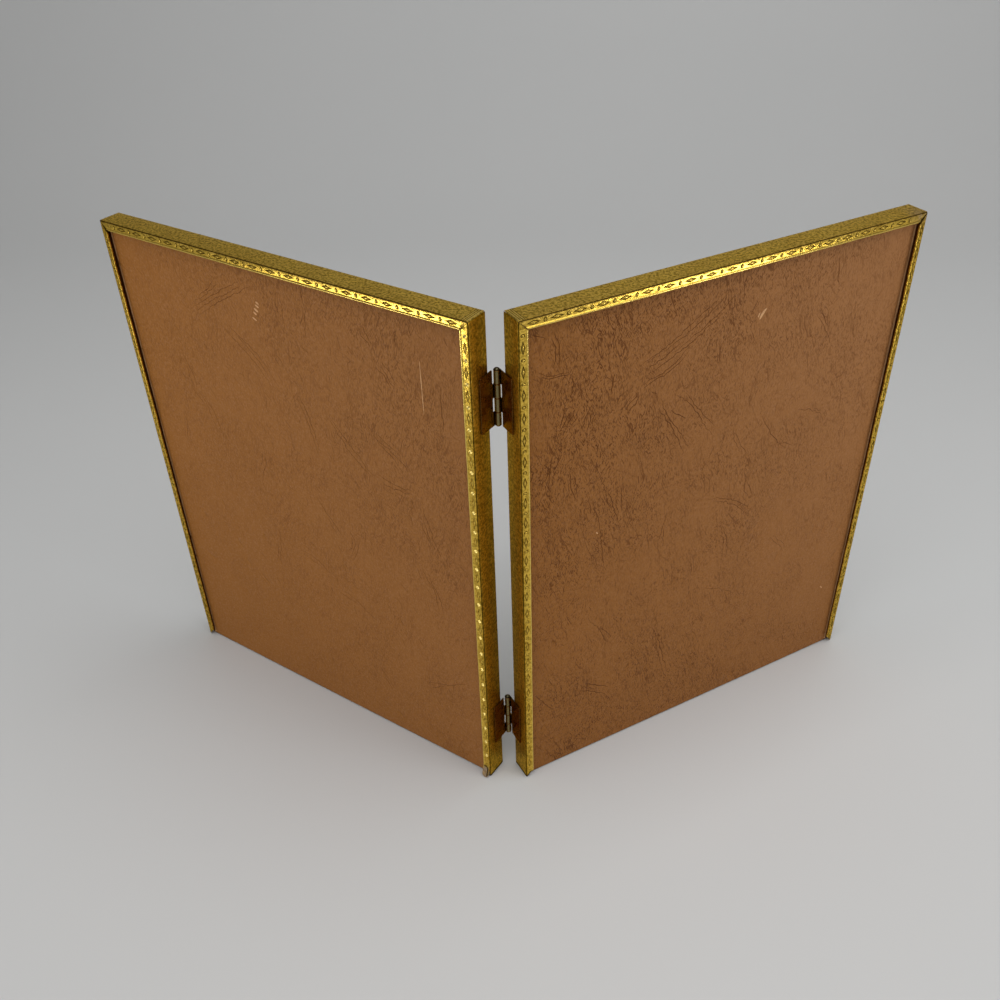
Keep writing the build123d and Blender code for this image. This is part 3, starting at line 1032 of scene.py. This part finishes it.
def make_pin(place, look):
    """A hinge pin with a domed head at each end."""
    dome_radius = (PIN_HEAD_RADIUS ** 2 + PIN_HEAD_RISE ** 2) / (2 * PIN_HEAD_RISE)
    half = math.degrees(math.asin(PIN_HEAD_RADIUS / dome_radius))
    foot = arc((0, dome_radius - PIN_HEAD_RISE), dome_radius, -90, -90 + half, PIN_HEAD_STEPS)
    outline = foot + [(PIN_RADIUS, 0.0), (PIN_RADIUS, HINGE_LENGTH)]
    outline += [(x, HINGE_LENGTH - z) for x, z in foot[::-1]]
    turns = np.linspace(0, 2 * math.pi, PIN_STEPS, endpoint=False)
    points = [(x * math.cos(turn), x * math.sin(turn), z) for x, z in outline for turn in turns]
    faces = between_loops(PIN_STEPS, len(outline))
    points = np.array(points) + (-KNUCKLE_RADIUS, -AXIS_AHEAD, HINGE_FEET[place])
    piece = add_piece(f"{place}_hinge_pin_bronze", "left", points, faces, look, rubbed=[1.0] * len(points))
    stand_for(piece, f"{place}_hinge_pin", "left_frame")


def soften(piece, width):
    """A small round on a piece's sharp edges."""
    bevel = piece.modifiers.new("worn edges", "BEVEL")
    bevel.width = width * MM
    bevel.segments = 2
    bevel.limit_method = "ANGLE"
    bevel.angle_limit = math.radians(40)


# Materials

def fill(node, inputs):
    """Links or values for a node's inputs. A colour's alpha is 1."""
    for name, value in inputs.items():
        socket = node.inputs[name]
        if isinstance(value, Field):
            node.id_data.links.new(value.socket, socket)
        else:
            socket.default_value = (*value, 1.0) if socket.type == "RGBA" else value


def add_node(tree, kind, output, inputs=None, **settings):
    """One output of a new node with its settings and inputs."""
    node = tree.nodes.new("ShaderNode" + kind)
    for name, value in settings.items():
        setattr(node, name, value)
    fill(node, inputs or {})
    return Field(node, output)


class Field:
    """A node's output in a material. What is reckoned from it is a further node's output."""

    def __init__(self, node, output):
        self.node = node
        self.tree = node.id_data
        self.socket = node.outputs[output]

    def calc(self, operation, other=0.0):
        return add_node(self.tree, "Math", 0, {0: self, 1: other}, operation=operation)

    def __mul__(self, other):
        return self.calc("MULTIPLY", other)

    def __sub__(self, other):
        return self.calc("SUBTRACT", other)

    def __abs__(self):
        return self.calc("ABSOLUTE")

    def larger(self, other):
        return self.calc("MAXIMUM", other)

    def mapped(self, **inputs):
        """Coordinates moved, turned or stretched."""
        return add_node(self.tree, "Mapping", "Vector", {"Vector": self, **inputs})

    def noise(self, scale, detail=3.0, roughness=0.55, distortion=0.0):
        inputs = {"Vector": self, "Scale": scale, "Detail": detail}
        inputs |= {"Roughness": roughness, "Distortion": distortion}
        return add_node(self.tree, "TexNoise", "Fac", inputs)

    def ramp(self, *stops):
        """A ramp between two stops, each a place and its grey."""
        made = add_node(self.tree, "ValToRGB", "Color", {"Fac": self})
        for element, (place, grey) in zip(made.node.color_ramp.elements, stops):
            element.position = place
            element.color = (grey, grey, grey, 1.0)
        return made

    def between(self, low, high):
        """A tone from one at 0 to another at 1."""
        return add_node(self.tree, "Mix", 2, {0: self, 6: low, 7: high}, data_type="RGBA")

    def bump(self, strength, distance):
        inputs = {"Height": self, "Strength": strength, "Distance": distance * MM}
        return add_node(self.tree, "Bump", "Normal", inputs)


class Look:
    """A material, the coordinates that it is drawn in and its main shader."""

    def __init__(self, name):
        self.material = bpy.data.materials.new(name)
        self.material.use_nodes = True
        self.tree = self.material.node_tree
        self.place = add_node(self.tree, "TexCoord", "Object")

    def attribute(self, name):
        return add_node(self.tree, "Attribute", "Fac", attribute_name=name)

    def shaded(self, inputs):
        fill(self.tree.nodes["Principled BSDF"], inputs)
        return self.material


def layered(tone, tones, shares):
    """A tone with others laid over it, each by its share."""
    for name, share in shares.items():
        tone = share.between(tone, tones[name])
    return tone


def gilt_material():
    """Gilt brass sheet: stippled, toned in patches and dark in its grooves, with painted shade along its
    bends and painted highlights on its high spots, bead crests and bright specks.
    """
    look = Look("gilt_rail")
    place = look.place
    mark, dull = look.attribute("mark"), look.attribute("dull")
    grain = place.noise(850, 3, 0.7)
    strength = dull.ramp((0, 0.42), (1, 1))
    dark = mark.ramp((0.05, 0), (0.7, 1))
    patches = place.noise(70, 4).ramp((0.35, 0), (0.68, 1))
    shares = {
        "brown": look.attribute("patina_and_shade") * place.noise(500, 4).ramp((0.25, 0.6), (0.7, 1)),
        "worn": look.attribute("worn") * place.noise(420, 3).ramp((0.35, 0.55), (0.55, 1)),
        "pits": grain.ramp((0.40, 0.85), (0.55, 0)) * strength,
        # Bright specks on the stippled lips are painted glints, and the polished tone below is a painted
        # highlight
        "painted_glints": grain.ramp((0.58, 0), (0.70, 0.6)) * strength,
        # The darkest tone: dirt in grooves and mitres, painted shade along bends, at the hinge feet, in the
        # tear and on ornament slopes
        "grime_and_shade": dark,
        "painted_highlight": (mark * -1.0).ramp((0.1, 0), (0.8, 1)),
    }
    rough = dull.between(grain.ramp((0.3, 0.19), (0.7, 0.11)), grain.ramp((0.3, 0.40), (0.7, 0.28)))
    base = patches.between(GILT_TONES["light"], GILT_TONES["deep"])
    return look.shaded({
        "Base Color": layered(base, GILT_TONES, shares),
        "Metallic": 1.0,
        "Specular Tint": (0.93, 0.80, 0.50),
        "Roughness": dark.between(rough, (0.7, 0.7, 0.7)),
        "Normal": grain.bump(0.7, 0.08),
    })


def panel_place(look):
    """Object coordinates turned into a panel's own axes, the same for both panels."""
    across = add_node(look.tree, "SeparateXYZ", "X", {"Vector": look.place})
    inputs = {"X": abs(across), "Y": Field(across.node, "Y"), "Z": Field(across.node, "Z")}
    return add_node(look.tree, "CombineXYZ", 0, inputs).mapped(Rotation=(0, 0, -lean))


def warped(place, scale, reach):
    """Coordinates pushed about slowly, so that lines drawn in them bend."""
    inputs = {"Vector": place, "Scale": scale, "Detail": 1.0}
    push = add_node(place.tree, "TexNoise", "Color", inputs)
    inputs = {0: push, 1: (reach * MM,) * 3, 2: place}
    return add_node(place.tree, "VectorMath", "Vector", inputs, operation="MULTIPLY_ADD")


def turned(place, slant, stretch):
    """Coordinates drawn out along a slant from the upright, elsewhere for every slant."""
    along = place.mapped(Rotation=(0, math.radians(slant), 0), Location=(slant, 0, 0))
    return along.mapped(Scale=(1.0, 1.0, stretch))


def fine_lines(place, slant, stretch, scale, width):
    """Long thin lines along a slant, which come and go in patches."""
    along = turned(place, slant, stretch)
    away = abs(along.noise(scale, 1, 0.5) - 0.5)
    patch = along.noise(scale * 0.4, 2, 0.6).ramp((0.48, 0), (0.54, 1))
    return away.ramp((width * 0.4, 1), (width, 0)) * patch


def fine_strokes(place, slant, stretch, scale):
    """Short dark strokes along a slant."""
    return turned(place, slant, stretch).noise(scale, 1, 0.5).ramp((0.35, 1), (0.41, 0))


def leatherette_material():
    """Brown leatherette paper: smooth fields parted by clusters of fine wrinkles and creases, with painted
    shade in the creases, where it is most creased, towards the right cover's foot and under the outer lip.
    """
    look = Look("leatherette")
    place = panel_place(look)
    mark, creased_and_shaded = look.attribute("mark"), look.attribute("creased_and_shaded")
    cluster = place.noise(34, 3, 0.6).ramp((0.40, 0.48), (0.58, 1))
    grain = place.noise(900, 3, 0.65)
    bent = warped(place, 45, 9)
    strokes = fine_strokes(bent, 16, 0.15, 2650).larger(fine_strokes(bent, -24, 0.22, 2450))
    depth = strokes.larger(fine_lines(bent, 16, 0.16, 420, 0.024)) * (cluster * creased_and_shaded)
    streaks = place.mapped(Scale=(1.0, 1.0, 0.3)).noise(1500, 2).ramp((0.30, 0.35), (0.5, 1))
    shares = {
        # Painted sheen, pale towards the object's right and the top
        "painted_sheen": look.attribute("painted_sheen"),
        # Lighter specks on the grain: painted highlights
        "grain": grain.ramp((0.48, 0), (0.66, 0.45)),
        # Painted shade where the cover is most creased
        "shade": creased_and_shaded * creased_and_shaded * 0.12,
        "strokes": depth * 0.75,
        # Dark creases: painted shade in their grooves
        "creases": (mark * -1.0).ramp((0.12, 0), (0.55, 1)) * creased_and_shaded,
        "scuffs": mark.ramp((0.02, 0), (0.3, 1)) * streaks,
        # Painted shade under the outer lip
        "shade_under_lip": look.attribute("shade_under_lip"),
    }
    base = place.noise(14, 2).between(LEATHER_TONES["light"], LEATHER_TONES["deep"])
    return look.shaded({
        "Base Color": layered(base, LEATHER_TONES, shares),
        "Roughness": grain.ramp((0.3, 0.62), (0.7, 0.5)),
        "Specular IOR Level": 0.12,
        "Normal": (grain * 0.4 - depth).bump(0.8, 0.16),
    })


def bronze_material(name, dark, rubbed):
    """Tarnished bronze, rubbed brighter round the barrel, dirty in its gaps and darkened as painted shade on
    the leaves' rims.
    """
    look = Look(name)
    stain = look.place.noise(420, 4, 0.6)
    wear = look.attribute("rubbed")
    tone = stain.ramp((0.35, 0), (0.65, 1)).between(dark, [channel * 1.4 for channel in dark])
    tone = wear.ramp((0.5, 0), (0.9, 1)).between(tone, rubbed)
    return look.shaded({
        "Base Color": wear.ramp((0.1, 1), (0.35, 0)).between(tone, GRIME_AND_SHADE_TONE),
        "Metallic": 1.0,
        "Specular Tint": (0.60, 0.34, 0.14),
        "Roughness": stain.ramp((0.3, 0.22), (0.7, 0.34)),
        "Normal": look.place.noise(1600, 3).bump(0.2, 0.04),
    })


def glass_material():
    """Clear glass, a little uneven."""
    look = Look("clear_glass")
    return look.shaded({
        "Base Color": (0.96, 0.985, 0.97),
        "Roughness": 0.0,
        "IOR": 1.5,
        "Transmission Weight": 1.0,
        "Alpha": 0.2,
        "Normal": look.place.noise(16, 1).bump(0.05, 0.05),
    })


def board_material(name, light, dark, scale, roughness):
    """Paper or card: fibres and a slow change of tone."""
    look = Look(name)
    fibres = look.place.mapped(Scale=(1.0, 1.0, 0.25)).noise(scale, 4, 0.7, 0.6)
    tone = fibres.ramp((0.3, 0), (0.7, 1)).between(dark, light)
    return look.shaded({
        "Base Color": look.place.noise(18, 3).ramp((0.35, 0), (0.75, 0.35)).between(tone, dark),
        "Roughness": fibres.ramp((0.3, roughness), (0.7, roughness - 0.12)),
        "Normal": fibres.bump(0.25, 0.05),
    })


def tinned_material():
    """Dull tinned sheet with drawn lines."""
    look = Look("tinned_steel")
    lines = look.place.mapped(Scale=(0.08, 1.0, 0.08)).noise(2600, 3, 0.6)
    bloom = look.place.noise(160, 3).ramp((0.35, 0), (0.7, 1))
    return look.shaded({
        "Base Color": bloom.between((0.56, 0.55, 0.52), (0.40, 0.38, 0.34)),
        "Metallic": 1.0,
        "Roughness": lines.ramp((0.3, 0.35), (0.7, 0.5)),
        "Normal": lines.bump(0.2, 0.03),
    })


def dress(node, look):
    """A CAD node keeps its shape and takes a finished material."""
    mesh = frame["nodes"][node].data
    mesh.materials.clear()
    mesh.materials.append(look)


# The object

gilt = gilt_material()
leatherette = leatherette_material()
bronze = bronze_material("dark_bronze", (0.255, 0.133, 0.034), (0.22, 0.18, 0.08))
pin_bronze = bronze_material("hinge_pin", (0.06, 0.05, 0.03), (0.08, 0.07, 0.04))
paper = board_material("print_paper", (0.80, 0.76, 0.66), (0.70, 0.64, 0.52), 900, 0.7)
card = board_material("grey_card", (0.43, 0.37, 0.29), (0.30, 0.25, 0.19), 700, 0.85)
hidden_parts = {
    "glass": glass_material(),
    "print": paper,
    "filler_board": card,
    "back_board": card,
    "corner_keys": tinned_material(),
}
for side in ("left", "right"):
    make_rails(side, gilt)
    make_cover(side, leatherette)
    for place in ("upper", "lower"):
        make_leaf(side, place, bronze)
    for part, look in hidden_parts.items():
        dress(f"{side}_{part}", look)
for place in ("upper", "lower"):
    make_pin(place, pin_bronze)


# Floor, light and camera

def make_sweep():
    """A pale floor that curves up into a plain wall behind the object."""
    bend = arc((SWEEP_FAR - SWEEP_BEND, SWEEP_BEND), SWEEP_BEND, -90, 0, 16)
    profile = [(SWEEP_NEAR, 0.0), (0.0, 0.0)] + bend + [(SWEEP_FAR, SWEEP_HEIGHT)]
    points = [(x, y, z) for y, z in profile for x in (-SWEEP_HALF_WIDTH, SWEEP_HALF_WIDTH)]
    faces = [(2 * k, 2 * k + 1, 2 * k + 3, 2 * k + 2) for k in range(len(profile) - 1)]
    mesh = bpy.data.meshes.new("studio_sweep")
    mesh.from_pydata(points, [], faces)
    mesh.shade_smooth()
    look = Look("studio_sweep")
    tone = look.place.noise(3, 3).between((0.60, 0.605, 0.60), (0.62, 0.62, 0.615))
    mesh.materials.append(look.shaded({"Base Color": tone, "Roughness": 0.45, "Specular IOR Level": 0.3}))
    sweep = bpy.data.objects.new("studio_sweep", mesh)
    bpy.context.scene.collection.objects.link(sweep)


def add_light(name, place, target, size, power):
    """A soft rectangular light that points at a target."""
    lamp = bpy.data.lights.new(name, "AREA")
    lamp.shape = "RECTANGLE"
    lamp.size, lamp.size_y = size
    lamp.energy = power
    light = bpy.data.objects.new(name, lamp)
    light.location = place
    light.rotation_mode = "QUATERNION"
    light.rotation_quaternion = (Vector(target) - Vector(place)).to_track_quat("-Z", "Y")
    light.visible_camera = False
    bpy.context.scene.collection.objects.link(light)


def add_reflector(name, start, end, width, radiance):
    """A low panel on the floor, which only the rails mirror strongly."""
    centre = (Vector((*start, 0)) + Vector((*end, 0))) / 2 + Vector((0, 0, REFLECTOR_HEIGHT))
    run = Vector(end) - Vector(start)
    power = radiance * math.pi * run.length * width
    add_light(name, centre, centre + Vector((0, 0, 1)), (run.length, width), power)
    panel = bpy.data.objects[name]
    panel.rotation_mode = "XYZ"
    panel.rotation_euler = (math.pi, 0, -math.atan2(run.y, run.x))


def make_world():
    """Pale surroundings that darken above the camera."""
    world = bpy.data.worlds.new("studio")
    world.use_nodes = True
    tree = world.node_tree
    inputs = {0: add_node(tree, "TexCoord", "Generated"), 1: WORLD_DARK_WAY}
    facing = add_node(tree, "VectorMath", "Value", inputs, operation="DOT_PRODUCT")
    fill(tree.nodes["Background"], {"Color": facing.ramp((0.05, WORLD_PALE), (0.65, WORLD_DARK))})
    bpy.context.scene.world = world


def make_camera():
    """The photograph's camera."""
    lens = bpy.data.cameras.new("camera")
    lens.sensor_width = CAMERA_SENSOR
    lens.lens = CAMERA_LENS
    lens.shift_y = CAMERA_SHIFT
    lens.clip_start, lens.clip_end = 0.01, 20.0
    camera = bpy.data.objects.new("camera", lens)
    camera.matrix_world = camera_matrix()
    bpy.context.scene.collection.objects.link(camera)
    bpy.context.scene.camera = camera


make_sweep()
add_light("overhead", (0.15, -0.2, 1.35), (0.05, -0.05, 0), (1.5, 1.0), 13.0)
add_light("left_panel", (-0.75, -0.85, 0.42), (0, 0, 0.14), (0.7, 0.6), 2.0)
add_light("right_panel", (0.9, -0.45, 0.62), (0.1, 0, 0.18), (0.5, 0.5), 1.6)
add_reflector("right_reflector", (0.54, -0.24), (0.69, -0.15), 0.14, 9.0)
add_reflector("left_reflector", (-0.455, -0.252), (-0.545, -0.197), 0.14, 9.0)
add_reflector("left_far_reflector", (-0.545, -0.197), (-0.66, -0.129), 0.14, 3.0)
make_world()
make_camera()
bpy.context.scene.view_settings.view_transform = "Standard"
